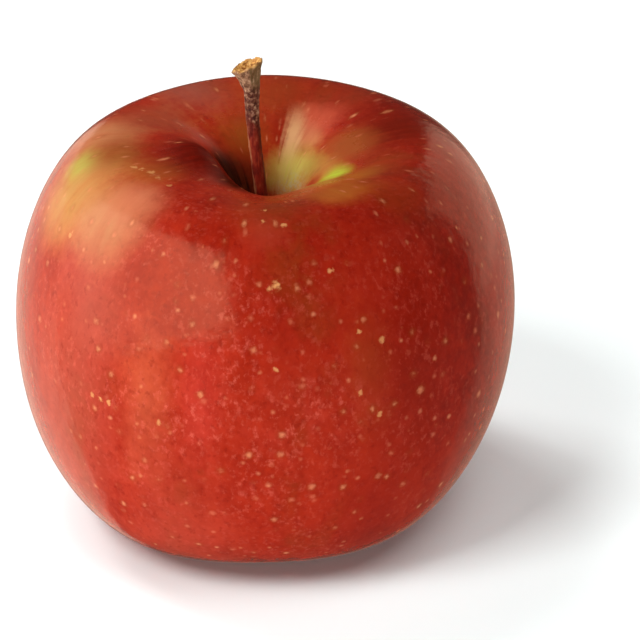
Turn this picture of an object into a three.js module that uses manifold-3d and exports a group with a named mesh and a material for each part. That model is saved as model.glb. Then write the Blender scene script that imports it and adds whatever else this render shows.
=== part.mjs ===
// A red apple in millimetres, +Z up: the fruit, the woody stem in the hollow on top of it, and the
// dried calyx in the basin underneath. It stands on five small flat feet, the lobes round the basin.
// The origin lies on the surface it stands on, under the middle of the fruit.
import * as THREE from 'three';
import Module from 'manifold-3d';

const { cos, sin, PI } = Math;
const rad = THREE.MathUtils.degToRad;

// ---- fruit -------------------------------------------------------------------------------------
// Half of the upright section: control points [radius, height] of one smooth curve, from the floor
// of the stem hollow, over the shoulder, down the cheek and under the lobes into the calyx basin.
const SECTION = [
  [0, 45.0], [1.4, 45.0], [2.8, 47.2], [3.9, 51.0], [5.4, 55.0], [8.2, 58.3], [13.2, 60.6],
  [19.4, 62.5], [26.4, 63.0], [32.7, 57.5], [37.3, 47.6], [39.3, 36.3], [38.5, 23.5],
  [35.3, 12.7], [30.0, 5.0], [22.2, 1.5], [12.6, 0.3], [8.2, 2.6], [5.2, 5.6], [3.0, 7.4],
  [0, 7.6],
];
const STEPS_PER_SPAN = 4;
const COLUMNS = 70;
const LOBES = 5;
const LOBE_AT = rad(-124); // direction of one of the five lobes
const LOBE_SWELL = 0.022; // how far a lobe stands out round the foot, as a share of the radius
const SHOULDER_SWELL = 0.008; // the same at the shoulder
const LOBE_DROP = 0.55; // how far a lobe reaches down round the basin
const LOBE_RING = { radius: 14, width: 7 }; // where round the basin it does
const BASE_SHIFT = -1.5; // the lower end grew a little to one side, along X
const FOOT_CUT = 0.3; // depth of the flat pressed on each lobe's lowest point

// The rim of the stem hollow is uneven. Each rise is [direction in degrees, half-width in degrees,
// height], and each opening widens the hollow by a share of its radius in the same way.
const RIM_RING = { radius: 12.5, width: 8.5 };
const RIM_LOBE = 0.4;
const RIM_RISES = [[-88, 34, -0.32], [-158, 30, 1.13], [30, 25, 0.3]];
const HOLLOW_OPENINGS = [[160, 36, 0.205], [-20, 38, 0.10], [62, 30, 0.14]];
// The steep lip on one side of the hollow: the ring where it runs, how far it reaches inward and
// outward from there, and its rise.
const LIP_RING = { radius: 8.2, inward: 2.8, outward: 6.3 };
const LIP_RISE = [[192.6, 35.7, 4.45]];

// ---- stem: centre line and radius [x, y, height, radius], then the knob on its end ---------------
const STEM_SIDES = 18;
const STEM = [
  [0.2, 0.3, 45.9, 1.35], [-0.1, 0.25, 48.0, 1.25], [-0.55, 0.1, 52.0, 1.1],
  [-0.95, 0.0, 57.0, 1.0], [-1.45, -0.3, 62.5, 0.98], [-2.05, -0.65, 68.0, 1.03],
  [-2.15, -0.9, 71.6, 1.18],
];
// Rings of the knob: [x, y, height, radius, slope of the ring along X].
const KNOB = [
  [-2.3, -0.95, 73.2, 1.4, 0.08], [-2.5, -1.0, 74.5, 1.75, 0.25], [-2.65, -1.0, 75.6, 2.1, 0.42],
  [-2.65, -1.0, 76.2, 2.1, 0.45], [-2.5, -1.0, 76.6, 1.5, 0.45], [-2.4, -1.0, 76.2, 0.7, 0.4],
];

// ---- calyx: five dried sepals on a small disc, round a tuft of dried stamens ---------------------
const SEPAL_AT = LOBE_AT + PI / LOBES;
const SEPAL_PATH = [[1.3, 6.6], [2.4, 5.9], [3.3, 4.8], [3.2, 3.5], [2.2, 2.5], [1.3, 2.2]];
const SEPAL_HALF_WIDTHS = [0.75, 1.1, 1.15, 0.9, 0.5, 0.12];
const SEPAL_THICKNESS = 0.5;
const CALYX_DISC = [[1.4, 7.2], [2.3, 6.9], [2.3, 6.3], [1.2, 5.9]];
const TUFT = [[0.9, 6.6], [0.8, 5.0], [0.9, 3.9], [0.45, 3.0]];

const GAP = 0.3; // between the stem or the calyx and the flesh that it grew on

/** Uniform cubic B-spline through a list of control points of any dimension. */
function spline(points, stepsPerSpan, before, after) {
  const all = [before, ...points, after];
  const spans = points.length - 1;
  const curve = [];
  for (let step = 0; step <= spans * stepsPerSpan; step += 1) {
    const span = Math.min(Math.floor(step / stepsPerSpan), spans - 1);
    const x = step / stepsPerSpan - span;
    const weights = [
      (1 - x) ** 3 / 6,
      (3 * x ** 3 - 6 * x ** 2 + 4) / 6,
      (-3 * x ** 3 + 3 * x ** 2 + 3 * x + 1) / 6,
      x ** 3 / 6,
    ];
    const blend = (axis) => weights.reduce((sum, w, k) => sum + w * all[span + k][axis], 0);
    curve.push(points[0].map((_, axis) => blend(axis)));
  }
  return curve;
}

/** A point mirrored through another, which makes a spline start or end exactly there. */
function mirrored(point, centre) {
  return centre.map((value, axis) => 2 * value - point[axis]);
}

function throughEnds(points, stepsPerSpan) {
  const last = points.length - 1;
  return spline(points, stepsPerSpan,
    mirrored(points[1], points[0]), mirrored(points[last - 1], points[last]));
}

/** The section starts and ends on the axis, so there its neighbour is its own mirror image. */
function sectionCurve() {
  const [, [r1, z1]] = SECTION;
  const [r2, z2] = SECTION[SECTION.length - 2];
  return spline(SECTION, STEPS_PER_SPAN, [-r1, z1], [-r2, z2]);
}

/** A closed geometry from rings of points in order, with each end closed at its own point. */
function skin(firstPoint, rings, lastPoint) {
  const sides = rings[0].length;
  const points = [firstPoint, ...rings.flat(), lastPoint];
  const at = (ring, side) => 1 + ring * sides + (side % sides);
  const index = [];
  for (let side = 0; side < sides; side += 1) {
    index.push(0, at(0, side), at(0, side + 1));
    for (let ring = 0; ring + 1 < rings.length; ring += 1) {
      index.push(at(ring, side), at(ring + 1, side), at(ring + 1, side + 1));
      index.push(at(ring, side), at(ring + 1, side + 1), at(ring, side + 1));
    }
    index.push(points.length - 1, at(rings.length - 1, side + 1), at(rings.length - 1, side));
  }
  const geometry = new THREE.BufferGeometry().setFromPoints(points);
  geometry.setIndex(index);
  geometry.computeVertexNormals();
  return geometry;
}

/** 1 at the middle of a bump and falling away smoothly on both sides of it. */
function bump(distance, width) {
  return Math.exp(-((distance / width) ** 2));
}

function turnBetween(a, b) {
  return Math.atan2(sin(a - b), cos(a - b));
}

function sumOfBumps(list, angle) {
  return list.reduce((sum, [at, halfWidth, amount]) => (
    sum + amount * bump(turnBetween(angle, rad(at)), rad(halfWidth))), 0);
}

/** One point of the fruit's surface, from a section point and the direction round the axis. */
function fruitPoint([radius, height], angle, size) {
  const rise = height / size.height;
  const low = (1 - rise) ** 2;
  const lobe = cos(LOBES * (angle - LOBE_AT));
  const inHollow = size.inHollow ? sin(PI * Math.min(1, radius / size.rimRadius) ** 0.28) : 0;
  const reach = radius * (1 + LOBE_SWELL * low * lobe
    + SHOULDER_SWELL * rise ** 2 * (radius / size.radius) * lobe
    + inHollow * sumOfBumps(HOLLOW_OPENINGS, angle));
  const onRim = rise ** 3 * bump(radius - RIM_RING.radius, RIM_RING.width);
  const lipWidth = radius < LIP_RING.radius ? LIP_RING.inward : LIP_RING.outward;
  const onLip = rise ** 3 * bump(radius - LIP_RING.radius, lipWidth);
  const underLobe = low ** 2 * bump(radius - LOBE_RING.radius, LOBE_RING.width);
  const raised = onRim * (RIM_LOBE * lobe + sumOfBumps(RIM_RISES, angle))
    + onLip * sumOfBumps(LIP_RISE, angle);
  return new THREE.Vector3(
    reach * cos(angle) + low * BASE_SHIFT,
    reach * sin(angle),
    height + raised - underLobe * LOBE_DROP * lobe,
  );
}

function fruitGeometry() {
  const curve = sectionCurve();
  const crest = curve.reduce((best, point, k) => (point[1] > curve[best][1] ? k : best), 0);
  const size = {
    height: curve[crest][1],
    radius: Math.max(...curve.map(([radius]) => radius)),
    rimRadius: curve[crest][0],
  };
  const rings = curve.map((point, row) => Array.from({ length: COLUMNS }, (_, column) => (
    fruitPoint(point, (2 * PI * column) / COLUMNS, { ...size, inHollow: row < crest }))));
  const lowest = Math.min(...rings.flat().map((point) => point.z));
  const ground = lowest + FOOT_CUT;
  rings.flat().forEach((point) => {
    point.z = Math.max(point.z, ground) - ground;
  });
  const last = rings.length - 1;
  return { geometry: skin(rings[0][0], rings.slice(1, last), rings[last][0]), ground };
}

/** A slightly uneven ring round a centre, in the plane that rises by slope along X. */
function stemRing([x, y, height, radius, slope = 0]) {
  return Array.from({ length: STEM_SIDES }, (_, side) => {
    const angle = (2 * PI * side) / STEM_SIDES;
    const uneven = 1 + 0.04 * cos(3 * angle + height / 3) + 0.03 * cos(2 * angle - height / 5);
    const reach = radius * uneven;
    return new THREE.Vector3(
      x + reach * cos(angle), y + reach * sin(angle), height + slope * reach * cos(angle));
  });
}

function stemGeometry() {
  const stalk = throughEnds(STEM, 4);
  const rings = [...stalk, ...KNOB].reverse().map(stemRing);
  const [topX, topY, topHeight] = KNOB[KNOB.length - 1];
  const [footX, footY, footHeight] = STEM[0];
  return skin(
    new THREE.Vector3(topX, topY, topHeight - 0.1), rings,
    new THREE.Vector3(footX, footY, footHeight));
}

/** One sepal: a thin pointed blade that leaves the disc, arches outwards and curls back in. */
function sepalGeometry(angle) {
  const path = throughEnds(SEPAL_PATH.map(([r, z], k) => [r, z, SEPAL_HALF_WIDTHS[k]]), 2);
  const rings = path.map(([r, z, halfWidth], k) => {
    const [r0, z0] = path[Math.max(k - 1, 0)];
    const [r1, z1] = path[Math.min(k + 1, path.length - 1)];
    const along = new THREE.Vector2(r1 - r0, z1 - z0).normalize();
    return Array.from({ length: 10 }, (_, side) => {
      const turn = (2 * PI * side) / 10;
      const across = halfWidth * cos(turn);
      const cup = 0.25 * across * across;
      const out = (-SEPAL_THICKNESS / 2) * sin(turn) - cup;
      return new THREE.Vector3(r + out * -along.y, across, z + out * along.x);
    });
  });
  const middle = (ring) => ring.reduce((sum, point) => sum.add(point), new THREE.Vector3())
    .divideScalar(ring.length);
  return skin(middle(rings[0]), rings, middle(rings[rings.length - 1])).rotateZ(angle);
}

/** A round body turned on the axis, from an outline of [radius, height] points, top to bottom. */
function turned(outline, sides) {
  const rings = outline.map(([radius, height]) => Array.from({ length: sides }, (_, side) => {
    const angle = (2 * PI * side) / sides;
    return new THREE.Vector3(radius * cos(angle), radius * sin(angle), height);
  }));
  return skin(
    new THREE.Vector3(0, 0, outline[0][1]), rings,
    new THREE.Vector3(0, 0, outline[outline.length - 1][1]));
}

/** Joins overlapping closed geometries into one closed geometry. */
async function joined(geometries) {
  const wasm = await Module();
  wasm.setup();
  const solids = geometries.map((geometry) => {
    const mesh = new wasm.Mesh({
      numProp: 3,
      vertProperties: new Float32Array(geometry.getAttribute('position').array),
      triVerts: new Uint32Array(geometry.getIndex().array),
    });
    return new wasm.Manifold(mesh);
  });
  const whole = wasm.Manifold.union(solids).getMesh();
  const geometry = new THREE.BufferGeometry();
  geometry.setAttribute('position', new THREE.BufferAttribute(
    new Float32Array(whole.vertProperties), 3));
  geometry.setIndex([...whole.triVerts]);
  geometry.computeVertexNormals();
  return geometry;
}

function calyxGeometry() {
  const sepals = Array.from({ length: LOBES }, (_, k) => (
    sepalGeometry(SEPAL_AT + (2 * PI * k) / LOBES)));
  return joined([turned(CALYX_DISC, 20), turned(TUFT, 14), ...sepals]);
}

function part(name, geometry, color, roughness) {
  const material = new THREE.MeshStandardMaterial({ color, roughness, metalness: 0 });
  const mesh = new THREE.Mesh(geometry, material);
  mesh.name = name;
  return mesh;
}

const { geometry: fruit, ground } = fruitGeometry();
fruit.computeBoundingBox();
const centre = fruit.boundingBox.getCenter(new THREE.Vector3());
const stem = stemGeometry().translate(0, 0, -ground);
const calyx = (await calyxGeometry()).translate(BASE_SHIFT, 0, -ground - GAP);

const apple = new THREE.Group();
apple.name = 'apple';
apple.add(
  part('fruit', fruit.translate(-centre.x, -centre.y, 0), 0xa42418, 0.3),
  part('stem', stem.translate(-centre.x, -centre.y, 0), 0x5a3424, 0.8),
  part('calyx', calyx.translate(-centre.x, -centre.y, 0), 0x6b5436, 0.9),
);

export default apple;
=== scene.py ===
"""A ripe red apple standing on a pale floor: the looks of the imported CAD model, in metres.

The fruit's surface follows the same section and the same lobes as the CAD solid, in finer steps.
Its colour is a red blush of varying density over a yellow-green ground, painted by node patterns
that run down the fruit from stem to calyx. Lengths below are in millimetres unless a name says so.
"""

from math import cos, pi, radians, sin

import bpy
import numpy as np
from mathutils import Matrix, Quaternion, Vector, noise


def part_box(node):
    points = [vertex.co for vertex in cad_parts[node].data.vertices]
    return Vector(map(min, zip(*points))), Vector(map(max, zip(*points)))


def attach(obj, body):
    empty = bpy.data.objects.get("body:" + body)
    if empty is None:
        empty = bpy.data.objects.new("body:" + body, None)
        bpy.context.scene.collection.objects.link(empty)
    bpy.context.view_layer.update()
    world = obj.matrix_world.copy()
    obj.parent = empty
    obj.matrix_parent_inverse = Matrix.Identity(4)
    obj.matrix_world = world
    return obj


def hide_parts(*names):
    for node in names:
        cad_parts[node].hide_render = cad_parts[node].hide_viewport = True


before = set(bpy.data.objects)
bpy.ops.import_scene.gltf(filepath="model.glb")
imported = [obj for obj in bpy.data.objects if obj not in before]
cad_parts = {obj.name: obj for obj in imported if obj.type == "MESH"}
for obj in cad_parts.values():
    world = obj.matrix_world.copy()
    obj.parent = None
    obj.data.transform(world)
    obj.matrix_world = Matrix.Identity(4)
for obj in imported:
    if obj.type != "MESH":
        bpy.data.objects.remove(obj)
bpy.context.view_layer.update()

MM = 0.001

# ---- the fruit's form ---------------------------------------------------------------------------
# Half of the upright section: control points (radius, height) of one smooth curve, from the floor
# of the stem hollow, over the shoulder, down the cheek and under the lobes into the calyx basin.
SECTION = [
    (0, 45.0), (1.4, 45.0), (2.8, 47.2), (3.9, 51.0), (5.4, 55.0), (8.2, 58.3), (13.2, 60.6),
    (19.4, 62.5), (26.4, 63.0), (32.7, 57.5), (37.3, 47.6), (39.3, 36.3), (38.5, 23.5),
    (35.3, 12.7), (30.0, 5.0), (22.2, 1.5), (12.6, 0.3), (8.2, 2.6), (5.2, 5.6), (3.0, 7.4),
    (0, 7.6),
]
# Five lobes run down the fruit: they swell the foot and, less, the shoulder, and hang under it.
LOBES = 5
LOBE_AT = radians(-124)
LOBE_SWELL, SHOULDER_SWELL = 0.022, 0.008
LOBE_DROP, LOBE_RING = 0.55, (14.0, 7.0)
BASE_SHIFT = -1.5
FOOT_CUT = 0.3
# The uneven rim of the stem hollow: (direction in degrees, half-width in degrees, amount).
RIM_RING, RIM_LOBE = (12.5, 8.5), 0.4
RIM_RISES = [(-88, 34, -0.32), (-158, 30, 1.13), (30, 25, 0.3)]
# The hollow opens wider in these directions. Its share of the radius is eased by this power, so
# that the opening is widest low in the hollow.
HOLLOW_OPENINGS = [(160, 36, 0.205), (-20, 38, 0.10), (62, 30, 0.14)]
OPENING_EASE = 0.28
# The steep lip on one side of the hollow: the radius where it runs, how far it reaches inward and
# outward from there, and its rise.
LIP_RADIUS, LIP_INWARD, LIP_OUTWARD = 8.2, 2.8, 6.3
LIP_RISE = [(192.6, 35.7, 4.45)]

ROWS, COLUMNS = 240, 360
SEAM_AT = radians(90)  # behind the apple
# The dots lie in cells on a cylinder of this radius. Where the fruit is narrower, the rows of cells
# are squeezed as much as the cells are across, so that the dots stay round. Towards the stem, by
# length down the skin, they are squeezed less, which draws the dots out into dashes.
DOT_CYLINDER, DOT_NARROWEST, DOT_MOST_SQUEEZE = 39.0, 6.0, 3.5
DASHES_DOWN, DASHES_DRAWN = (24, 44), (3.2, 1.0)


def spline(points, steps, before, after):
    """Uniform cubic B-spline through control points of any dimension."""
    ends = np.vstack([before, np.array(points, float), after])
    spans = len(points) - 1
    place = np.linspace(0, spans, spans * steps + 1)
    span = np.minimum(place.astype(int), spans - 1)
    x = (place - span)[:, None]
    weights = ((1 - x) ** 3, 3 * x**3 - 6 * x**2 + 4, -3 * x**3 + 3 * x**2 + 3 * x + 1, x**3)
    return sum(w * ends[span + k] for k, w in enumerate(weights)) / 6


def through_ends(points, steps):
    """The same spline, made to start and end exactly on its first and last point."""
    p = np.array(points, float)
    return spline(p, steps, 2 * p[0] - p[1], 2 * p[-1] - p[-2])


def even_rows(curve, count):
    """The curve again, in equal steps of its own length, and the length at each step."""
    length = np.concatenate([[0], np.cumsum(np.linalg.norm(np.diff(curve, axis=0), axis=1))])
    steps = np.linspace(0, length[-1], count)
    return np.stack([np.interp(steps, length, axis) for axis in curve.T], 1), steps


def bump(distance, width):
    return np.exp(-((distance / width) ** 2))


def sum_of_bumps(listed, angle):
    """Bumps round the axis, each (direction in degrees, half-width in degrees, amount)."""
    total = np.zeros_like(angle)
    for at, half_width, amount in listed:
        turn = np.arctan2(np.sin(angle - radians(at)), np.cos(angle - radians(at)))
        total += amount * bump(turn, radians(half_width))
    return total


def fruit_surface():
    """Points in mm as a (rows, columns, 3) array, the angle of each column, the length down the
    skin at each row, and the height of the ground under the section."""
    (r1, z1), (r2, z2) = SECTION[1], SECTION[-2]
    curve, arc = even_rows(spline(SECTION, 60, (-r1, z1), (-r2, z2)), ROWS)
    radius, height = curve[:, :1], curve[:, 1:]
    angle = SEAM_AT + np.linspace(0, 2 * np.pi, COLUMNS + 1)[None, :]
    crest = int(height.argmax())
    rise = height / height.max()
    low = (1 - rise) ** 2
    lobe = np.cos(LOBES * (angle - LOBE_AT))
    share = np.minimum(1, radius / radius[crest]) ** OPENING_EASE
    in_hollow = np.where(np.arange(ROWS)[:, None] < crest, np.sin(np.pi * share), 0)
    reach = radius * (
        1
        + LOBE_SWELL * low * lobe
        + SHOULDER_SWELL * rise**2 * radius / radius.max() * lobe
        + in_hollow * sum_of_bumps(HOLLOW_OPENINGS, angle)
    )
    on_rim = rise**3 * bump(radius - RIM_RING[0], RIM_RING[1])
    under_lobe = low**2 * bump(radius - LOBE_RING[0], LOBE_RING[1])
    top = on_rim * (RIM_LOBE * lobe + sum_of_bumps(RIM_RISES, angle))
    lip_width = np.where(radius < LIP_RADIUS, LIP_INWARD, LIP_OUTWARD)
    top = top + rise**3 * bump(radius - LIP_RADIUS, lip_width) * sum_of_bumps(LIP_RISE, angle)
    z = height + top - under_lobe * LOBE_DROP * lobe
    x = reach * np.cos(angle) + low * BASE_SHIFT
    y = reach * np.sin(angle) + 0 * low
    ground = z.min() + FOOT_CUT
    return np.stack([x, y, np.maximum(z, ground) - ground], -1), angle[0], arc, ground


def fitted(points, node):
    """Moves and scales the points so that they fill a CAD node's box exactly."""
    low, high = (np.array(corner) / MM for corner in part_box(node))
    mine_low, mine_high = points.reshape(-1, 3).min(0), points.reshape(-1, 3).max(0)
    scale = (high - low) / (mine_high - mine_low)
    return (points - mine_low) * scale + low


def to_frame():
    """The move in mm from the section's own axis and height to the CAD frame."""
    grid, _, _, ground = fruit_surface()
    low, high = grid.reshape(-1, 3).min(0), grid.reshape(-1, 3).max(0)
    box_low, box_high = (np.array(corner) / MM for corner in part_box("fruit"))
    middle = (box_low + box_high - low - high) / 2
    return np.array([middle[0], middle[1], -ground])


# ---- meshes --------------------------------------------------------------------------------------
def add_object(name, vertices_mm, faces, material, smooth=True):
    mesh = bpy.data.meshes.new(name)
    mesh.from_pydata([tuple(v) for v in np.asarray(vertices_mm) * MM], [], faces)
    mesh.materials.append(material)
    mesh.polygons.foreach_set("use_smooth", [smooth] * len(mesh.polygons))
    mesh.update()
    piece = bpy.data.objects.new(name, mesh)
    bpy.context.scene.collection.objects.link(piece)
    return piece


def put_vectors(mesh, name, rows):
    attribute = mesh.attributes.new(name, "FLOAT_VECTOR", "POINT")
    attribute.data.foreach_set("vector", np.ascontiguousarray(rows, "f").ravel())


def capped_faces(rings, sides):
    """Faces of a closed body whose points are the middle of its top, the middle of its bottom, and
    then rings of points, the first ring on top."""
    at = lambda ring, side: 2 + ring * sides + side % sides
    faces = [
        (at(r, s), at(r + 1, s), at(r + 1, s + 1), at(r, s + 1))
        for r in range(rings - 1)
        for s in range(sides)
    ]
    faces += [(0, at(0, s), at(0, s + 1)) for s in range(sides)]
    faces += [(1, at(rings - 1, s + 1), at(rings - 1, s)) for s in range(sides)]
    return faces


def closed_tube(rings):
    """Points and faces of a body from closed rings of points, its ends closed at their middles."""
    rings = np.array(rings)
    count, sides = rings.shape[:2]
    points = np.vstack([rings[0].mean(0), rings[-1].mean(0), rings.reshape(-1, 3)])
    return points, capped_faces(count, sides)


def build_fruit(material):
    grid, angle, arc, _ = fruit_surface()
    grid = fitted(grid, "fruit")
    rings = ROWS - 2
    inner = grid[1:-1, :COLUMNS].reshape(-1, 3)
    vertices = np.vstack([grid[0, :1], grid[-1, :1], inner])
    fruit = add_object("Fruit_flesh", vertices, capped_faces(rings, COLUMNS), material)

    # Where each point lies on the skin: round the axis as (cos, sin), and down it in mm.
    def by_point(row_values):
        """One value for each row of the grid, given to every point of the mesh."""
        ends = [row_values[0], row_values[-1]]
        return np.concatenate([ends, np.repeat(row_values[1:-1], COLUMNS)])

    ring_angle = np.tile(angle[:COLUMNS], rings)
    around = np.vstack([[0, 0], [0, 0], np.stack([np.cos(ring_angle), np.sin(ring_angle)], 1)])
    put_vectors(fruit.data, "skin", np.column_stack([around, by_point(arc)]))
    flat = grid[:, :COLUMNS, :2]
    reach = np.linalg.norm(flat - flat.mean(1, keepdims=True), axis=2).mean(1)
    squeeze = np.minimum(DOT_CYLINDER / np.maximum(reach, DOT_NARROWEST), DOT_MOST_SQUEEZE)
    squeeze /= np.interp(arc, DASHES_DOWN, DASHES_DRAWN)
    dot_rows = np.concatenate([[0], np.cumsum(np.diff(arc) * squeeze[1:])])
    on_cylinder = np.column_stack([around * DOT_CYLINDER, by_point(dot_rows)])
    put_vectors(fruit.data, "dots", on_cylinder)
    unwrap(fruit.data, arc)
    return fruit


def unwrap(mesh, arc):
    """One rectangle for the bake: the direction round the axis against the length down the skin."""
    layer = mesh.uv_layers.new(name="OFBake")
    uv = []
    for face in mesh.polygons:
        spots = [vertex_uv(v, arc) for v in face.vertices]
        across = [u for u, _ in spots if u is not None]
        wraps = max(across) - min(across) > 0.5
        past_seam = lambda u: u + (wraps and u < 0.5)
        middle = sum(past_seam(u) for u in across) / len(across)
        uv += [(middle if u is None else past_seam(u), v) for u, v in spots]
    layer.data.foreach_set("uv", np.array(uv, "f").ravel())


def vertex_uv(vertex, arc):
    """A vertex's place in the rectangle. The two end points have none of their own across it."""
    if vertex < 2:
        return None, 1.0 - vertex
    ring, side = divmod(vertex - 2, COLUMNS)
    return side / COLUMNS, 1 - arc[ring + 1] / arc[-1]


# ---- node patterns -------------------------------------------------------------------------------
def linear(red, green, blue):
    """A colour given as it looks on a screen, 0 to 255, as the light values that nodes use."""
    part = [c / 255 for c in (red, green, blue)]
    return tuple(c / 12.92 if c <= 0.04045 else ((c + 0.055) / 1.055) ** 2.4 for c in part) + (1,)


class Nodes:
    """A node tree, with one short method for each kind of node used here."""

    def __init__(self, tree):
        self.tree = tree

    def node(self, kind, inputs=(), **settings):
        made = self.tree.nodes.new(kind)
        for key, value in settings.items():
            setattr(made, key, value)
        for key, value in dict(inputs).items():
            self.put(made.inputs[key], value)
        return made

    def put(self, socket, value):
        if isinstance(value, bpy.types.NodeSocket):
            self.tree.links.new(value, socket)
        else:
            socket.default_value = value

    def vector(self, operation, a, b=(0, 0, 0)):
        return self.node("ShaderNodeVectorMath", {0: a, 1: b}, operation=operation)

    def scaled(self, vector, by):
        return self.vector("MULTIPLY", vector, by).outputs[0]

    def math(self, operation, a, b=0.0, clamp=False):
        made = self.node("ShaderNodeMath", {0: a, 1: b}, operation=operation, use_clamp=clamp)
        return made.outputs[0]

    def add(self, *terms):
        total = terms[0]
        for term in terms[1:]:
            total = self.math("ADD", total, term)
        return total

    def times(self, a, b):
        return self.math("MULTIPLY", a, b)

    def swing(self, pattern, by):
        """How far a pattern is from its middle value, in proportion to by."""
        return self.times(self.math("SUBTRACT", pattern, 0.5), by)

    def spread(self, value, low, high, to_low=0.0, to_high=1.0):
        """Eases from to_low to to_high as the value goes from low to high."""
        made = self.node(
            "ShaderNodeMapRange",
            {
                "Value": value,
                "From Min": low,
                "From Max": high,
                "To Min": to_low,
                "To Max": to_high,
            },
            interpolation_type="SMOOTHSTEP",
        )
        return made.outputs["Result"]

    def ramp(self, value, stops):
        """A colour that follows the value, from stops (value, colour)."""
        made = self.node("ShaderNodeValToRGB", {"Fac": value})
        band = made.color_ramp
        while len(band.elements) < len(stops):
            band.elements.new(1.0)
        for element, (at, color) in zip(band.elements, stops):
            element.position = at
            element.color = color
        return made.outputs["Color"]

    def noise(self, vector, scale=1.0, detail=2.0, roughness=0.5, distortion=0.0):
        made = self.node(
            "ShaderNodeTexNoise",
            {
                "Vector": vector,
                "Scale": scale,
                "Detail": detail,
                "Roughness": roughness,
                "Distortion": distortion,
            },
        )
        return made.outputs["Fac"]

    def cells(self, vector, size):
        """Cells of a size in mm: how far a point is from its cell's own, and the cell's chance."""
        made = self.node(
            "ShaderNodeTexVoronoi", {"Vector": vector, "Scale": 1 / size, "Randomness": 0.85}
        )
        return self.times(made.outputs["Distance"], size), made.outputs["Color"]

    def channel(self, color, which):
        return self.node("ShaderNodeSeparateColor", {"Color": color}).outputs[which]

    def mix(self, factor, a, b):
        made = self.node("ShaderNodeMix", data_type="RGBA")
        self.put(made.inputs["Factor"], factor)
        self.put(made.inputs[6], a)
        self.put(made.inputs[7], b)
        return made.outputs[2]

    def near(self, place, centre, radius, wobble=None, soft=1.0):
        """1 at a spot and 0 beyond its radius, easing over a share soft of it; wobble, in mm, makes
        the spot's edge uneven."""
        far = self.vector("DISTANCE", place, centre).outputs["Value"]
        if wobble is not None:
            far = self.add(far, wobble)
        return self.spread(far, radius, radius * (1 - soft))

    def along(self, place, degrees):
        """How far a point lies from the axis towards a direction, in mm."""
        toward = (cos(radians(degrees)), sin(radians(degrees)), 0)
        return self.vector("DOT_PRODUCT", place, toward).outputs["Value"]


class Paint(Nodes):
    """A material's nodes."""

    def __init__(self, name):
        self.material = bpy.data.materials.new(name)
        self.material.use_nodes = True
        super().__init__(self.material.node_tree)
        self.shader = self.tree.nodes["Principled BSDF"]

    def attribute(self, name):
        return self.node("ShaderNodeAttribute", attribute_name=name).outputs["Vector"]

    def point(self):
        """The point in the CAD frame, in mm."""
        coordinates = self.node("ShaderNodeTexCoord").outputs["Object"]
        return self.scaled(coordinates, (1 / MM,) * 3)

    def facing(self, low, high):
        """How much a surface faces +X, eased between two values of its normal."""
        normal = self.node("ShaderNodeNewGeometry").outputs["Normal"]
        across = self.node("ShaderNodeSeparateXYZ", {0: normal}).outputs["X"]
        return self.spread(across, low, high)

    def finish(self, color, roughness, height, height_mm):
        """Joins a colour, a roughness and a fine relief to the material's shader."""
        self.put(self.shader.inputs["Base Color"], color)
        self.put(self.shader.inputs["Roughness"], roughness)
        made = self.node("ShaderNodeBump", {"Height": height, "Distance": height_mm * MM})
        self.put(self.shader.inputs["Normal"], made.outputs["Normal"])
        return self.material


# ---- the skin ------------------------------------------------------------------------------------
# The blush, from bare ground colour at 0 to the deepest red at 1.
BLUSH = [
    (0.00, linear(140, 158, 40)),
    (0.16, linear(188, 174, 62)),
    (0.32, linear(208, 146, 62)),
    (0.48, linear(204, 104, 48)),
    (0.62, linear(190, 69, 32)),
    (0.76, linear(177, 41, 20)),
    (0.90, linear(152, 28, 14)),
    (1.00, linear(124, 18, 10)),
]
# The colours of the skin's smaller parts.
OLIVE, RUSSET, MARK = linear(146, 64, 22), linear(190, 176, 146), linear(228, 160, 98)
CLOUD, FLECK, PIT = linear(206, 62, 46), linear(216, 94, 76), linear(122, 16, 9)
DULL_DOT, PALE_DOT, DOT_RING = linear(226, 116, 86), linear(234, 150, 102), linear(140, 60, 24)
# How much each pattern adds to the blush's density, and what it starts from.
STREAKS_ADD, BANDS_ADD, BLOTCHES_ADD, MOTTLE_ADD, DENSITY_FROM = 0.12, 0.24, 0.24, 0.24, 0.42
# Places where the blush is thinner or denser: (x, y, z), radius, change of density.
BLUSH_SPOTS = [
    ((-25, -8, 60), 17, -0.20),
    ((-19, -15, 61), 12, -0.08),
    ((-17, 8, 62), 14, -0.12),
    ((-6, 20, 61.5), 16, -0.14),
    ((10, 20, 61), 12, -0.05),
    ((13, 2, 60), 12, -0.14),
    ((0, -15, 61), 12, -0.08),
    ((-17, -35, 40), 12, -0.06),
    ((24, 14, 61), 16, 0.16),
    ((-10, -4, 61.5), 9, 0.16),
    ((26, -16, 55), 24, 0.10),
    ((30, -22, 34), 30, 0.12),
    ((4, -35, 51), 9, 0.06),
    ((-6, 36, 40), 20, -0.26),
    ((20, 30, 46), 18, -0.10),
]
HOLLOW_THINS, BASIN_THINS = -0.30, -0.62
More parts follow.
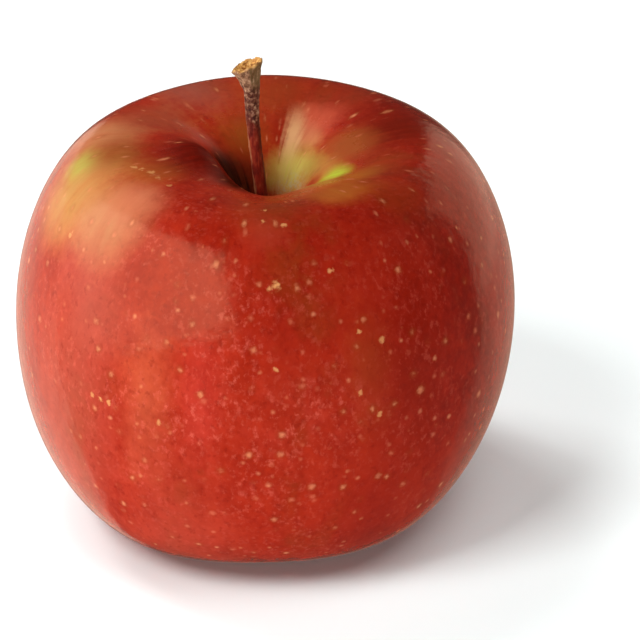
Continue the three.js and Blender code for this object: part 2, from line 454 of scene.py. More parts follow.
# Patches of colour: (x, y, z), radius, colour, strength. The last four are painted shade: deep red
# on the left lip of the hollow, and near black down its left wall beside the stem.
TINTS_AND_PAINTED_SHADE = [
    ((19.5, 5.0, 61.5), 12.0, linear(112, 22, 8), 0.85),
    ((-24.5, 3.0, 61.6), 9.5, linear(204, 134, 88), 0.75),
    ((-17.0, 9.0, 62.0), 8.0, linear(168, 88, 62), 0.50),
    ((-28.0, -10.0, 58.8), 13.0, linear(200, 146, 82), 0.85),
    ((-27.6, -4.2, 60.3), 5.0, linear(188, 182, 84), 0.80),
    ((-23.0, -19.5, 58.6), 10.0, linear(200, 132, 86), 0.80),
    ((-18.8, -18.9, 61.2), 7.5, linear(212, 120, 84), 0.75),
    ((-22.5, -4.0, 62.0), 7.5, linear(150, 86, 34), 0.60),
    ((-16.0, -11.0, 62.2), 6.5, linear(182, 92, 38), 0.65),
    ((-11.8, 19.0, 61.9), 9.0, linear(160, 98, 80), 0.55),
    ((1.0, 19.0, 61.8), 12.0, linear(146, 64, 28), 0.55),
    ((13.2, 18.0, 61.8), 9.0, linear(128, 56, 32), 0.45),
    ((-3.5, 9.5, 58.5), 7.0, linear(150, 80, 28), 0.60),
    ((13.0, 3.0, 59.8), 7.0, linear(162, 84, 34), 0.70),
    ((7.8, 12.5, 59.9), 6.0, linear(214, 92, 64), 0.80),
    ((6.9, 8.6, 57.9), 3.4, linear(214, 138, 84), 0.70),
    ((6.0, 10.3, 58.8), 3.8, linear(222, 132, 92), 0.55),
    ((19.0, -17.0, 61.6), 8.0, linear(144, 58, 18), 0.40),
    ((11.0, -14.5, 61.2), 8.5, linear(176, 90, 28), 0.85),
    ((11.1, -18.5, 61.9), 5.0, linear(184, 106, 38), 0.55),
    ((14.6, -8.4, 60.6), 5.0, linear(190, 116, 38), 0.75),
    ((17.5, -6.5, 61.0), 6.5, linear(150, 62, 22), 0.55),
    ((10.4, -4.2, 58.5), 4.4, linear(192, 210, 64), 1.00),
    ((0.2, -8.0, 60.0), 4.5, linear(128, 70, 28), 0.60),
    ((0.5, -27.0, 59.5), 5.0, linear(190, 72, 50), 0.35),
    ((1.0, -21.0, 61.7), 10.0, linear(132, 60, 20), 0.40),
    # Painted shade: the left lip of the hollow darkened to deep red.
    ((-10.5, -5.0, 61.5), 11.0, linear(88, 16, 8), 0.78),
    # Painted shade: near black down the left wall of the hollow, beside the stem.
    ((-4.0, 2.0, 53.0), 8.5, linear(24, 9, 4), 1.00),
    ((-6.2, 3.0, 56.6), 4.6, linear(44, 12, 5), 0.95),
    ((-4.6, -8.8, 59.7), 5.6, linear(36, 10, 5), 0.98),
]
# The same after the streak: the greenish ground low in the hollow, where the streak runs out.
LOW_TINTS = [
    ((4.4, 4.6, 55.0), 5.9, linear(204, 184, 84), 1.00),
    ((7.4, 2.4, 56.4), 3.6, linear(170, 158, 62), 0.60),
    ((7.6, -7.4, 58.7), 3.8, linear(182, 138, 54), 0.90),
    ((9.4, -9.6, 59.8), 3.8, linear(182, 142, 50), 0.75),
    ((9.0, 0.2, 57.5), 3.6, linear(196, 142, 64), 0.55),
    ((5.4, -8.8, 58.4), 3.0, linear(176, 124, 66), 0.65),
]
# Upright bands on the cheeks, in a space where heights count a third: (x, y, z / 3), radius,
# colour, strength.
BANDS = [
    ((16.0, -35.0, 14.5), 5.5, linear(142, 56, 22), 0.42),
    ((-9.0, -37.0, 12.5), 5.0, linear(206, 58, 50), 0.40),
    ((-28.0, -26.0, 12.5), 13.0, linear(188, 88, 68), 0.55),
    ((-17.0, -34.5, 12.0), 6.5, linear(214, 104, 68), 0.45),
    ((-13.0, -31.0, 3.0), 14.0, linear(190, 74, 54), 0.45),
    ((22.0, -31.0, 13.5), 10.0, linear(126, 16, 6), 0.65),
    ((16.0, -31.0, 4.0), 8.0, linear(134, 20, 12), 0.55),
]
# The pale streak up the far wall of the hollow: its direction in degrees, how far its middle line
# passes to the right of the axis, where its sides fade, and where it starts and ends along it.
STREAK_COLOR = linear(240, 184, 128)
STREAK_AT, STREAK_BESIDE = 79, 2.3
STREAK_SIDE, STREAK_START, STREAK_END = (2.2, 0.2), (3.0, 7.0), (18.0, 10.5)
# Two sorts of pale dots: cell size, least and most radius, the share of cells without a dot, and
# whether a dot has an olive ring.
DOTS = [(3.4, (0.24, 0.47), 0.24, True), (2.2, (0.15, 0.30), 0.60, False)]
# The inner wall of the steep lip shines less than the skin round it.
DULL_LIP = ((-6.6, -3.5, 59.8), 11.0)
# Single marks: (x, y, z), radius, how much they show.
MARKS = [
    ((2.1, -33.4, 54.7), 0.85, 0.9), ((1.3, -33.8, 54.3), 0.6, 0.7),
    ((-15.3, -36.2, 33.3), 0.6, 0.6), ((2.2, -37.9, 43.0), 0.5, 0.7),
    ((14.5, -36.2, 38.3), 0.6, 0.6), ((17.4, -35.3, 34.3), 0.65, 0.6),
    ((17.6, -33.3, 45.7), 0.6, 0.6), ((14.3, -34.1, 47.5), 0.5, 0.7),
    ((10.0, -31.2, 56.0), 0.55, 0.8), ((-24.1, -31.0, 34.3), 0.5, 0.8),
    ((-22.9, -32.0, 34.3), 0.45, 0.7), ((-25.4, -29.9, 34.5), 0.45, 0.6),
    ((-19.4, -9.3, 62.2), 0.7, 0.75), ((-18.1, -9.9, 62.2), 0.6, 0.7),
    ((-16.8, -11.0, 62.2), 0.8, 0.7), ((-15.6, -12.7, 62.2), 0.6, 0.6),
    ((-14.0, -15.5, 62.2), 0.55, 0.5), ((-28.8, -16.4, 54.5), 0.6, 0.7),
    ((0.4, -23.1, 61.8), 0.5, 0.7), ((0.2, -26.0, 61.5), 0.5, 0.7), ((3.2, -26.7, 61.2), 0.55, 0.8),
]


class Skin(Paint):
    """The fruit's skin, with the patterns that its colour, gloss and relief share."""

    def __init__(self):
        super().__init__("fruit_skin")
        self.place, skin = self.point(), self.attribute("skin")
        self.down = self.node("ShaderNodeSeparateXYZ", {0: skin}).outputs["Z"]
        self.away = self.vector("LENGTH", self.scaled(self.place, (1, 1, 0))).outputs["Value"]
        self.streaks = self.noise(self.scaled(skin, (13, 13, 0.05)), detail=5, roughness=0.62)
        self.bands = self.noise(self.scaled(skin, (3.0, 3.0, 0.02)), detail=3)
        self.blotches = self.noise(self.place, scale=0.16, detail=4, roughness=0.6)
        self.mottle = self.noise(self.place, scale=0.75, detail=4, roughness=0.65)
        self.wobble = self.add(
            self.swing(self.blotches, 9.0),
            self.swing(self.streaks, 5.0),
            self.swing(self.mottle, 4.0),
        )
        self.uneven = self.add(
            self.times(self.spread(self.streaks, 0.34, 0.66), 0.35),
            self.times(self.mottle, 0.3),
            0.66,
        )
        self.near_stem = self.russet_area()
        self.in_hollow = self.spread(self.add(self.down, self.times(self.wobble, 0.4)), 19.0, 6.0)

    def blush(self):
        """The red over the green ground, thin in the hollow and in the basin."""
        density = self.add(
            self.times(self.streaks, STREAKS_ADD),
            self.times(self.bands, BANDS_ADD),
            self.times(self.blotches, BLOTCHES_ADD),
            self.times(self.mottle, MOTTLE_ADD),
            DENSITY_FROM,
        )
        for centre, radius, change in BLUSH_SPOTS:
            spot = self.near(self.place, centre, radius, self.wobble)
            density = self.add(density, self.times(spot, change))
        in_basin = self.spread(self.add(self.down, self.times(self.wobble, 0.8)), 98.0, 120.0)
        density = self.add(
            density, self.times(self.in_hollow, HOLLOW_THINS), self.times(in_basin, BASIN_THINS)
        )
        return self.ramp(density, BLUSH)

    def banded(self, color):
        """Faint olive bands, where the ground shows through the red, and those of the cheeks."""
        thin = self.spread(self.bands, 0.50, 0.68)
        thin = self.times(thin, self.spread(self.blotches, 0.40, 0.62))
        color = self.mix(self.times(thin, 0.34), color, OLIVE)
        low = self.scaled(self.place, (1, 1, 1 / 3))
        for centre, radius, tint, strength in BANDS:
            band = self.near(low, centre, radius, self.times(self.wobble, 0.6))
            color = self.mix(self.times(band, strength), color, tint)
        return color

    def worn(self, color):
        """Pink flecks in broken veins that run down the cheeks, with darker pits between them."""
        drawn = self.scaled(self.place, (1.0, 1.0, 0.75))
        vein = self.noise(drawn, scale=0.50, detail=2.5, roughness=0.6, distortion=1.0)
        veins = self.spread(self.math("ABSOLUTE", self.math("SUBTRACT", vein, 0.5)), 0.12, 0.0)
        grains = self.noise(drawn, scale=1.15, detail=3, roughness=0.65)
        cloud = self.noise(drawn, scale=0.30, detail=4, roughness=0.7)
        pits = self.noise(drawn, scale=0.9, detail=3, roughness=0.7)
        area = self.noise(self.place, scale=0.09, detail=2)
        worn = self.spread(self.add(area, self.times(self.mottle, 0.3)), 0.42, 0.85)
        front_left = self.near(self.place, (-10, -36, 38), 44.0)
        worn = self.times(worn, self.add(self.times(front_left, 0.9), 0.22))
        cloudy = self.add(self.times(worn, 0.30), 0.05)
        cloudy = self.times(self.spread(cloud, 0.44, 0.70), cloudy)
        color = self.mix(cloudy, color, CLOUD)
        flecks = self.add(self.times(veins, 0.75), 0.30)
        flecks = self.times(self.spread(grains, 0.48, 0.68), flecks)
        flecks = self.times(flecks, self.add(self.times(worn, 0.62), 0.05))
        color = self.mix(flecks, color, FLECK)
        return self.mix(self.times(self.spread(pits, 0.46, 0.30), 0.36), color, PIT)

    def patched(self, color, tints):
        """Each patch has an uneven edge, and the streaks of the skin run on through it."""
        for centre, radius, tint, strength in tints:
            edge = self.times(self.wobble, min(0.5, radius / 16))
            patch = self.near(self.place, centre, radius, edge, 0.92)
            shown = self.math("MULTIPLY", patch, self.times(self.uneven, strength), clamp=True)
            color = self.mix(shown, color, tint)
        return color

    def streaked(self, color):
        """The pale streak up the far wall of the hollow, frayed along both sides."""
        fray = self.add(self.swing(self.streaks, 2.6), self.swing(self.mottle, 1.4))
        across = self.along(self.place, STREAK_AT + 90)
        beside = self.math("ABSOLUTE", self.add(across, STREAK_BESIDE, fray))
        height = self.along(self.place, STREAK_AT)
        ends = self.times(self.spread(height, *STREAK_START), self.spread(height, *STREAK_END))
        streak = self.times(self.spread(beside, *STREAK_SIDE), ends)
        return self.mix(self.times(streak, 0.88), color, STREAK_COLOR)

    def russet_area(self):
        """Where the skin is dry and greyish, round the foot of the stem."""
        foot = self.near(self.place, (4.4, 2.6, 52.5), 4.5, self.times(self.wobble, 0.2))
        low = self.spread(self.down, 9.0, 4.0)
        return self.add(self.times(foot, 0.7), self.times(low, 0.35))

    def russet(self, color):
        """A greyish net near the stem."""
        net = self.scaled(self.place, (1.4, 1.4, 1.4))
        net = self.noise(net, detail=4, roughness=0.7, distortion=1.2)
        shown = self.times(self.near_stem, self.spread(net, 0.44, 0.60))
        return self.mix(shown, color, RUSSET)

    def dotted(self, color):
        """Pale dots, one in each cell that has one. A cell's chance says whether it has one, how
        large it is and how pale; towards the stem there are fewer dots, and larger ones, drawn out
        into dashes. Returns the colour and where the dots of the first sort are."""
        dots = self.attribute("dots")
        nearer = self.spread(self.away, 9.0, 34.0, 0.62, 1.0)
        fewer = self.spread(self.away, 36.0, 16.0, 0.0, 0.35)
        more = self.near(self.place, (-15.5, -9.0, 62.0), 7.0, self.wobble, 0.8)
        fewer = self.add(fewer, self.times(more, -0.4))
        uneven = self.noise(dots, scale=1.9, detail=3)
        cores = []
        for size, (least, most), without, ring in DOTS:
            far, chance = self.cells(dots, size)
            chance = [self.channel(chance, which) for which in ("Red", "Green", "Blue")]
            present = self.math("GREATER_THAN", chance[0], self.add(fewer, without))
            radius = self.add(self.times(chance[1], most - least), least)
            far = self.add(self.times(far, nearer), self.swing(uneven, most * 1.5))
            beyond = self.math("SUBTRACT", far, radius)
            core = self.times(self.spread(beyond, 0.36, -0.36), present)
            if ring:
                round_it = self.times(self.spread(beyond, 0.9, 0.0), present)
                round_it = self.times(round_it, chance[2])
                color = self.mix(self.times(round_it, 0.32), color, DOT_RING)
            tint = self.mix(chance[2], DULL_DOT, PALE_DOT)
            strength = self.add(self.times(chance[2], 0.44), 0.30)
            color = self.mix(self.times(core, strength), color, tint)
            cores.append(core)
        return color, cores[0]

    def marked(self, color):
        """The single marks, each with an uneven edge."""
        edge = self.swing(self.noise(self.place, scale=1.6, detail=3), 1.6)
        for centre, radius, strength in MARKS:
            mark = self.near(self.place, centre, radius, edge, 0.9)
            color = self.mix(self.times(mark, strength), color, MARK)
        return color


def skin_material():
    p = Skin()
    color = p.worn(p.banded(p.blush()))
    # Patches of colour, and painted shade on the left lip and in the left of the hollow.
    color = p.patched(color, TINTS_AND_PAINTED_SHADE)
    color = p.patched(p.streaked(color), LOW_TINTS)
    color, large_dots = p.dotted(p.russet(color))
    color = p.marked(color)

    rough = p.add(
        p.times(p.mottle, 0.08),
        0.13,
        p.times(p.spread(p.away, 24.0, 12.0), 0.12),
        p.times(p.in_hollow, 0.24),
        p.times(p.near_stem, 0.2),
    )
    # The skin shines less in the hollow, and least on the inner wall of the steep lip.
    p.shader.inputs["IOR"].default_value = 1.5
    p.shader.inputs["Specular Tint"].default_value = (1.0, 0.55, 0.32, 1)
    dull = p.spread(p.near(p.place, *DULL_LIP, soft=0.55), 0.0, 1.0, 1.0, 0.1)
    shine = p.times(dull, p.spread(p.away, 9.0, 16.0, 0.12, 0.5))
    p.put(p.shader.inputs["Specular IOR Level"], shine)
    waves = p.noise(p.place, 0.3)
    relief = p.add(p.times(p.mottle, 0.5), p.times(large_dots, 0.3), p.times(waves, 2.2))
    return p.finish(color, rough, relief, 0.05)


# ---- stem ----------------------------------------------------------------------------------------
# Centre (x, y, height), radius, and for the knob how far its rings rise along +X.
STEM = [
    (0.2, 0.3, 45.2, 1.4), (-0.15, 0.25, 48.0, 1.22), (-0.75, 0.1, 52.0, 1.04),
    (-1.22, 0.0, 57.0, 0.94), (-1.70, -0.3, 62.5, 0.94), (-2.12, -0.65, 68.0, 1.0),
    (-2.15, -0.9, 71.6, 1.18),
]
KNOB = [
    (-2.15, -0.9, 71.6, 1.18, 0.0), (-2.26, -0.95, 73.0, 1.30, 0.02),
    (-2.42, -1.0, 74.4, 1.50, 0.12), (-2.64, -1.0, 75.4, 1.98, 0.30),
    (-2.66, -1.0, 76.0, 2.10, 0.39), (-2.60, -1.0, 76.2, 1.80, 0.41),
    (-2.50, -1.0, 75.95, 1.25, 0.38), (-2.3, -1.0, 75.45, 0.75, 0.32),
    (-2.1, -1.0, 74.7, 0.35, 0.3),
]
STEM_SIDES, STALK_ROWS, KNOB_ROWS = 72, 150, 90
# What adds to the stem's radius: ridges along it, and lumps that grow from a height over a length.
RIDGES, LUMPS, LUMPS_GROW, LUMPS_FROM, LUMPS_OVER = 0.05, 0.02, 0.08, 54, 12
# The torn rim of the knob: how uneven it is, how far its tip at the left stands out, half the width
# of that tip in radians, and how jagged the wood inside the rim is.
TORN_RIM, TIP_OUT, TIP_WIDTH, JAGGED = 0.30, 0.55, 0.40, 0.34
# The stem's colours by how light a pattern is there: its bark low and high on the stem, the collar
# under the knob, and the bare wood.
YOUNG_BARK = [
    (0.30, linear(84, 20, 12)),
    (0.48, linear(138, 34, 18)),
    (0.62, linear(164, 58, 32)),
    (0.78, linear(184, 112, 70)),
]
OLD_BARK = [
    (0.34, linear(38, 14, 12)),
    (0.45, linear(78, 34, 26)),
    (0.54, linear(120, 70, 50)),
    (0.64, linear(184, 142, 112)),
    (0.78, linear(222, 192, 162)),
]
COLLAR_BARK = [
    (0.34, linear(96, 60, 38)),
    (0.5, linear(170, 126, 92)),
    (0.66, linear(218, 180, 144)),
]
BARE_WOOD = [
    (0.32, linear(120, 66, 26)),
    (0.44, linear(180, 118, 54)),
    (0.56, linear(224, 168, 88)),
    (0.70, linear(238, 200, 128)),
]
# A tan painted highlight for the stem's left side, dark painted shade for its right side, and the
# olive of the collar's right side, darker there as painted shade.
LIT_BARK, PAINTED_SHADE_BARK, OLIVE_SHADE_BARK = linear(196, 138, 92), linear(62, 12, 9), linear(112, 88, 46)


def roughness_at(point, scale, octaves=4):
    """Smooth noise between about -1 and 1, the same on every run."""
    return noise.fractal(Vector(point) * scale, 0.9, 2.1, octaves, noise_basis="PERLIN_ORIGINAL")


def turns(sides):
    """The angles of a ring's points."""
    return np.linspace(0, 2 * np.pi, sides, endpoint=False)


def stem_ring(row, up_knob):
    """The points of one ring of the stem. On the knob, up_knob goes from 0 to 1 along its outline,
    over the rim and in to the middle of the torn wood; below the knob it's 0."""
    x, y, z, radius, slope = row
    angle = turns(STEM_SIDES)
    uneven = 1 + 0.04 * np.cos(3 * angle + z / 3) + 0.03 * np.cos(2 * angle - z / 5)
    upper = min(1.0, max(0.0, (z - LUMPS_FROM) / LUMPS_OVER))
    ring = []
    for a, share in zip(angle, uneven):
        reach = radius * share
        ridges = roughness_at((3 * cos(a) + 9, 3 * sin(a), z * 0.35), 1.0)
        lumps = roughness_at((reach * cos(a), reach * sin(a), z), 1.1)
        reach += RIDGES * ridges + (LUMPS + LUMPS_GROW * upper) * lumps
        if up_knob > 0:
            torn = roughness_at((1.5 * cos(a), 1.5 * sin(a), 4.0), 1.3)
            tip = TIP_OUT * np.exp(-(((a - np.pi) / TIP_WIDTH) ** 2))
            on_rim = min(1.0, 2.5 * up_knob) * min(1.0, 2.5 * (1 - up_knob))
            reach += (TORN_RIM * torn + tip) * on_rim
        rise = slope * reach * cos(a)
        if up_knob > 0.3:
            jag = roughness_at((1.1 * reach * cos(a), 1.1 * reach * sin(a), 11.0), 1.2)
            rise += JAGGED * jag * min(1.0, 3 * (up_knob - 0.3))
        ring.append((x + reach * cos(a), y + reach * sin(a), z + rise))
    return ring


def build_stem(material):
    stalk = even_rows(through_ends(STEM, 20), STALK_ROWS)[0]
    stalk = np.column_stack([stalk, 0 * stalk[:, 0]])
    knob = even_rows(through_ends(KNOB, 12), KNOB_ROWS)[0][1:]
    rows = np.vstack([stalk, knob])
    up_knob = np.maximum(0.0, (np.arange(len(rows)) - len(stalk)) / len(knob))
    rings = [stem_ring(row, up) for row, up in zip(rows, up_knob)]
    points, faces = closed_tube(rings[::-1])
    # Each point's height, for the bark, and whether it lies inside the rim, where the wood is bare.
    rim = int(np.argmax(rows[len(stalk):, 3])) + len(stalk)
    bare = np.clip((np.arange(len(rows))[::-1] - rim) / 8 + 0.2, 0, 1)
    bare = np.concatenate([[1, 0], np.repeat(bare, STEM_SIDES)])
    placed = points + to_frame()
    placed[:, 2] -= max(0.0, placed[:, 2].max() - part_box("stem")[1][2] / MM + 0.02)
    stem = add_object("Fruit_stem", placed, faces, material)
    put_vectors(stem.data, "stem", np.column_stack([points[:, 2], bare, 0 * bare]))
    return stem


def bark_material():
    p = Paint("stem_bark")
    place = p.point()
    parts = p.node("ShaderNodeSeparateXYZ", {0: p.attribute("stem")})
    height, bare = parts.outputs["X"], parts.outputs["Y"]
    grain = p.noise(p.scaled(place, (1.1, 1.1, 0.32)), detail=4, roughness=0.6)
    scaly = p.noise(p.scaled(place, (1.7, 1.7, 1.15)), detail=5, roughness=0.72)
    wood = p.noise(p.scaled(place, (1.5, 1.5, 1.5)), detail=4, roughness=0.65, distortion=1.2)

    # Smooth red bark, with a tan painted highlight where it faces left and dark painted shade where
    # it faces right.
    painted_highlight = p.times(p.facing(-0.45, -0.95), p.spread(grain, 0.35, 0.6))
    color = p.mix(p.times(painted_highlight, 0.6), p.ramp(grain, YOUNG_BARK), LIT_BARK)
    color = p.mix(p.times(p.facing(0.0, 0.85), 0.65), color, PAINTED_SHADE_BARK)
    # Scaly grey-brown bark above it, and a lighter collar under the knob, olive-brown at the right,
    # where its darkness is painted shade.
    aged = p.spread(p.add(height, p.swing(grain, 8)), 63.5, 69.0)
    color = p.mix(aged, color, p.ramp(scaly, OLD_BARK))
    collar = p.spread(height, 71.5, 74.0)
    color = p.mix(p.times(collar, 0.7), color, p.ramp(scaly, COLLAR_BARK))
    # Olive-brown where the collar faces right: partly its own olive, partly painted shade.
    olive = p.times(collar, p.facing(0.1, 0.7))
    color = p.mix(p.times(olive, 0.75), color, OLIVE_SHADE_BARK)
    color = p.mix(bare, color, p.ramp(wood, BARE_WOOD))
    p.shader.inputs["Specular IOR Level"].default_value = 0.3
    return p.finish(color, 0.62, p.add(p.times(scaly, 0.7), p.times(grain, 0.3)), 0.18)


# ---- calyx ---------------------------------------------------------------------------------------
SEPAL_AT = LOBE_AT + np.pi / LOBES
# One sepal's middle line (distance from the axis, height) and half its width.
SEPAL = [
    (1.2, 7.4, 0.8), (2.4, 6.4, 1.15), (3.35, 5.0, 1.2), (3.3, 3.6, 0.95), (2.4, 2.4, 0.5),
    (1.6, 2.0, 0.1),
]
SEPAL_ROWS, SEPAL_SIDES = 44, 20
CALYX_DISC = [(0.05, 7.8), (1.6, 7.75), (2.4, 7.1), (2.3, 6.4), (1.2, 6.0), (0.05, 6.1)]
DISC_ROWS, DISC_SIDES = 24, 40
STAMENS, STAMEN_SIDES = 16, 8
DRY_FIBRES = [
    (0.30, linear(42, 28, 18)),
    (0.5, linear(98, 70, 44)),
    (0.72, linear(150, 122, 84)),
]
PALE_HAIRS = linear(176, 166, 138)


def sepal_rings(angle, number):
    """Rings from a sepal's foot to its tip: a thin leaf, folded and swaying in its own way."""
    path = even_rows(through_ends(SEPAL, 16), SEPAL_ROWS)[0]
    last = SEPAL_ROWS - 1
    rings = []
    for k, (r, z, half) in enumerate(path):
        along = path[min(k + 1, last)][:2] - path[max(k - 1, 0)][:2]
        along /= np.linalg.norm(along)
        crinkle = roughness_at((k * 0.09, number * 7.0, 0), 1.0)
        sway = 0.35 * np.sin(k / last * 2.2 + number * 1.9)
        ring = []
        for t in turns(SEPAL_SIDES):
            across = half * cos(t) * (1 + 0.25 * crinkle)
            fold = 0.22 * roughness_at((across * 1.2, k * 0.10, number * 5.0), 1.4, 3)
            out = 0.14 * sin(t) * (1 - 0.6 * k / last) - 0.25 * across * across + fold
            away, beside = r + out * -along[1], across + sway
            x, y = away * cos(angle) - beside * sin(angle), away * sin(angle) + beside * cos(angle)
            ring.append((x, y, z + out * along[0]))
        rings.append(ring)
    return rings


def disc_rings():
    """The lumpy plate that the sepals grow from."""
    rings = []
    for r, z in even_rows(through_ends(CALYX_DISC, 8), DISC_ROWS)[0]:
        round_it = [(r * cos(a), r * sin(a), z) for a in turns(DISC_SIDES)]
        rings.append([(x, y, z + 0.1 * roughness_at((x, y, z), 1.2)) for x, y, z in round_it])
    return rings


def stamen_rings(number):
    """A thread that hangs from the plate and ends in a small knob."""
    at = lambda reach, turn, z, r: (reach * cos(turn), reach * sin(turn), z, r)
    turn = 2.4 * number
    start, reach = 0.35 + 0.04 * number, 0.5 + 0.25 * np.sin(5.1 * number)
    shorter = 0.05 * number % 0.5
    line = [
        at(start, turn, 6.4, 0.13),
        at(start * 1.3, turn, 5.4, 0.09),
        at(reach, turn + 0.4, 4.4, 0.08),
        at(reach, turn + 0.6, 3.7 + shorter, 0.16),
        at(reach, turn + 0.6, 3.4 + shorter, 0.05),
    ]
    return [
        [(x + r * cos(b), y + r * sin(b), z) for b in turns(STAMEN_SIDES)]
        for x, y, z, r in through_ends(line, 5)
    ]


def build_calyx(material):
    bodies = [sepal_rings(SEPAL_AT + 2 * np.pi * k / LOBES, k)[::-1] for k in range(LOBES)]
    bodies += [disc_rings()] + [stamen_rings(k) for k in range(STAMENS)]
    points, faces = np.empty((0, 3)), []
    for body in bodies:
        body_points, body_faces = closed_tube(body)
        faces += [tuple(v + len(points) for v in face) for face in body_faces]
        points = np.vstack([points, body_points])
    return add_object("Fruit_calyx", points + to_frame() + (BASE_SHIFT, 0, 0), faces, material)


def calyx_material():
    p = Paint("dried_calyx")
    place = p.point()
    fibres = p.noise(p.scaled(place, (2.0, 2.0, 0.9)), detail=5, roughness=0.7)
    hairs = p.spread(p.noise(place, scale=3.5, detail=2), 0.55, 0.75)
    color = p.mix(p.times(hairs, 0.5), p.ramp(fibres, DRY_FIBRES), PALE_HAIRS)
    return p.finish(color, 0.85, fibres, 0.15)


# ---- studio, in metres ---------------------------------------------------------------------------
VIEW_UP = radians(28)
CAMERA_DISTANCE, CAMERA_LENS_MM, CAMERA_SENSOR_MM = 0.6, 216, 36
AIM = Vector((0.00854, 0.0, 0.03122))
LIGHTS_AIM = (0.0, 0.0, 0.03)
WHITE, WARM, DEEP_WARM = (1.0, 1.0, 1.0), (1.0, 0.82, 0.66), (1.0, 0.70, 0.52)
PALE_WARM, COOL = (1.0, 0.88, 0.80), (0.93, 1.0, 1.0)
FLOOR_REACH_MM, FLOOR_COLOR, FLOOR_ROUGHNESS = 3000, (0.9, 0.9, 0.9, 1), 0.7
# Upright screens that light the fruit and are mirrored in it: name, direction in degrees round,
# distance, reach to either side, reach in height, how bright the face looks, its colour, and how
# the brightness fades over it.
SCREENS = [
    # The big softbox at the left front. It is brightest towards the camera, and fades to the left
    # and towards its lower left corner.
    ("Softbox", 201.5, 0.75, (-0.94, 0.94), (-0.04, 1.2), 2.8, WHITE,
     [(1, 0, 0.0, 0.8, 0.40, 1.0), (0.9, 1, 0.15, 0.50, 0.0, 1.0)]),
    # Three dim warm screens. They reach below the floor, which the skin doesn't mirror, and so
    # stand for the lit floor at either side.
    ("Left_glow", 134, 0.75, (-0.42, 0.42), (-0.9, 0.12), 0.85, WARM, []),
    ("Right_glow", 50, 0.70, (-0.38, 0.38), (-0.12, 0.5), 0.92, DEEP_WARM,
     [(1, 0, 0.0, 0.1, 0.0, 1.0), (-2.4, 0.48, -2.0, -1.90, 0.0, 1.0)]),
    ("Right_low", 56.5, 0.70, (-0.52, 0.52), (-0.75, -0.12), 0.46, DEEP_WARM,
     [(1, 0, 0.0, 0.15, 0.0, 1.0), (0, 1, 0.0, 0.9, 0.35, 1.0)]),
]
SOFTBOX_TILT = radians(19)  # its lower edge rises towards the camera
# Soft fills that light the fruit and aren't mirrored in it: name, direction in degrees round and
# up, distance, width, height, how bright the face looks, its colour.
FILLS = [
    ("Left_fill", 158, 8, 0.80, 0.9, 0.6, 1.8, WHITE),
    ("Upper_fill", 135, 42, 0.90, 0.8, 0.8, 1.6, WHITE),
    ("Right_fill", 15, 32, 0.90, 0.8, 0.7, 1.35, PALE_WARM),
    ("Front_fill", 292, 24, 1.10, 1.7, 0.9, 0.48, WHITE),
]
# Lamps that shine on the floor alone, as a photographer lights a backdrop: name, direction in
# degrees round and up, size, how bright the face looks.
FLOOR_LAMPS = [
    ("Floor_front", 315, 65, 0.7, 4.3),
    ("Floor_low", 272, 18, 0.3, 15.0),
    ("Floor_left", 224, 49, 0.45, 17.5),
    ("Floor_back", 150, 50, 0.3, 18.0),
    ("Floor_top", 135, 65, 0.3, 13.0),
]
FLOOR_LAMP_DISTANCE = 1.2
# The world glows faintly, more from below: between two heights of a direction, two strengths.
WORLD_GLOW, WORLD_COLOR = (-0.25, -0.05, 0.12, 0.06), (1.0, 0.78, 0.60, 1)


def aimed(name, data, place, target):
    thing = bpy.data.objects.new(name, data)
    bpy.context.scene.collection.objects.link(thing)
    thing.location = place
    thing.rotation_mode = "QUATERNION"
    thing.rotation_quaternion = (Vector(place) - Vector(target)).to_track_quat("Z", "Y")
    return thing


def direction(turn, rise, distance):
    """A place in metres at a direction from the apple, in degrees from +X round and up."""
    turn, rise = radians(turn), radians(rise)
    return Vector((cos(rise) * cos(turn), cos(rise) * sin(turn), sin(rise))) * distance


def add_panel(name, place, target, width, height, radiance, color):
    """A soft rectangular light, given by how bright its face looks."""
    light = bpy.data.lights.new(name, "AREA")
    light.shape = "RECTANGLE"
    light.size, light.size_y = width, height
    light.energy = radiance * pi * width * height
    light.color = color
    return aimed(name, light, place, target)


def add_screen(name, turn, distance, across, height, radiance, color, fades):
    """An upright panel facing the apple's axis, from its reach to either side and in height. Each
    fade is (x, y, from, to, low, high): it multiplies the brightness by a share that eases from low
    to high as x times the place across the face, plus y times the place up it, goes from one value
    to the other."""
    outward, sideways = direction(turn, 0, 1), direction(turn + 90, 0, 1)
    place = outward * distance + sideways * (sum(across) / 2)
    place.z = sum(height) / 2
    size = across[1] - across[0], height[1] - height[0]
    screen = add_panel(name, place, place - outward, *size, radiance, color)
    if fades:
        screen.data.use_nodes = True
        nodes = Nodes(screen.data.node_tree)
        spot = nodes.node("ShaderNodeNewGeometry").outputs["Parametric"]
        brightness = 1.0
        for x, y, *ease in fades:
            at = nodes.vector("DOT_PRODUCT", spot, (x, y, 0)).outputs["Value"]
            brightness = nodes.times(brightness, nodes.spread(at, *ease))
        nodes.put(nodes.tree.nodes["Emission"].inputs["Strength"], brightness)
    return screen


def build_floor():
    paint = Paint("floor")
    paint.shader.inputs["Base Color"].default_value = FLOOR_COLOR
    paint.shader.inputs["Roughness"].default_value = FLOOR_ROUGHNESS
    corners = [(x * FLOOR_REACH_MM, y * FLOOR_REACH_MM, 0) for x, y in
               ((-1, -1), (1, -1), (1, 1), (-1, 1))]
    floor = add_object("Floor", corners, [(0, 1, 2, 3)], paint.material, smooth=False)
    floor.visible_glossy = False
    return floor


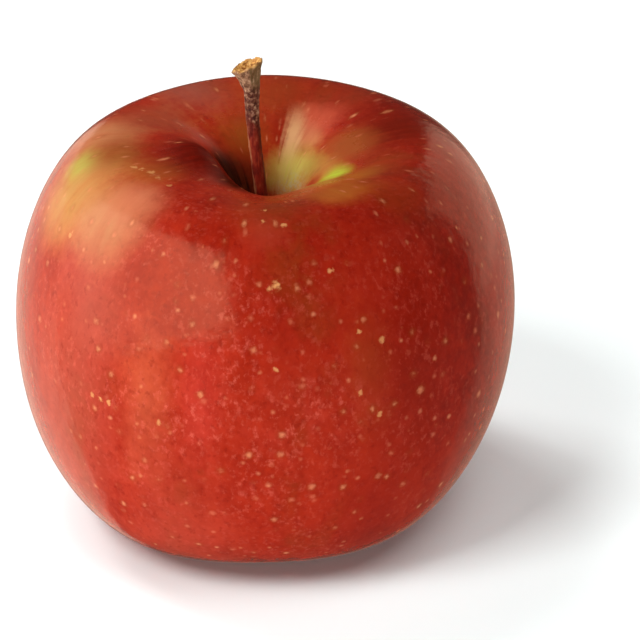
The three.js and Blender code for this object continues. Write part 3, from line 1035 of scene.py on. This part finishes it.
def lit_alone(name, members):
    """A collection that light is linked to, so that it reaches nothing else."""
    group = bpy.data.collections.new(name)
    for member in members:
        group.objects.link(member)
    return group


def add_lights(floor):
    on_fruit = lit_alone("Lit_fruit", [piece for piece, _ in pieces.values()])
    on_floor = lit_alone("Lit_floor", [floor])
    screens = [add_screen(*screen) for screen in SCREENS]
    softbox = screens[0]
    tilt = Quaternion((0, 0, 1), SOFTBOX_TILT)
    softbox.rotation_quaternion = softbox.rotation_quaternion @ tilt
    fills = []
    for name, turn, rise, distance, *face in FILLS:
        fills.append(add_panel(name, direction(turn, rise, distance), LIGHTS_AIM, *face))
        fills[-1].visible_glossy = False
    for light in screens + fills:
        light.light_linking.receiver_collection = on_fruit
    for name, turn, rise, size, radiance in FLOOR_LAMPS:
        place = direction(turn, rise, FLOOR_LAMP_DISTANCE)
        lamp = add_panel(name, place, (0, 0, 0), size, size, radiance, COOL)
        lamp.light_linking.receiver_collection = on_floor


def add_world():
    world = bpy.data.worlds.new("World")
    bpy.context.scene.world = world
    world.use_nodes = True
    nodes = Nodes(world.node_tree)
    background = nodes.tree.nodes["Background"]
    toward = nodes.node("ShaderNodeTexCoord").outputs["Generated"]
    upward = nodes.node("ShaderNodeSeparateXYZ", {0: toward}).outputs["Z"]
    nodes.put(background.inputs["Strength"], nodes.spread(upward, *WORLD_GLOW))
    background.inputs["Color"].default_value = WORLD_COLOR


def add_camera():
    lens = bpy.data.cameras.new("Camera")
    lens.lens, lens.sensor_width = CAMERA_LENS_MM, CAMERA_SENSOR_MM
    back = Vector((0, -cos(VIEW_UP), sin(VIEW_UP)))
    bpy.context.scene.camera = aimed("Camera", lens, AIM + back * CAMERA_DISTANCE, AIM)
    bpy.context.scene.view_settings.view_transform = "Standard"


pieces = {
    "fruit": (build_fruit(skin_material()), "skin"),
    "stem": (build_stem(bark_material()), "bark"),
    "calyx": (build_calyx(calyx_material()), "dried_calyx"),
}
for node, (piece, slot) in pieces.items():
    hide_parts(node)
    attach(piece, "root")
add_lights(build_floor())
add_world()
add_camera()
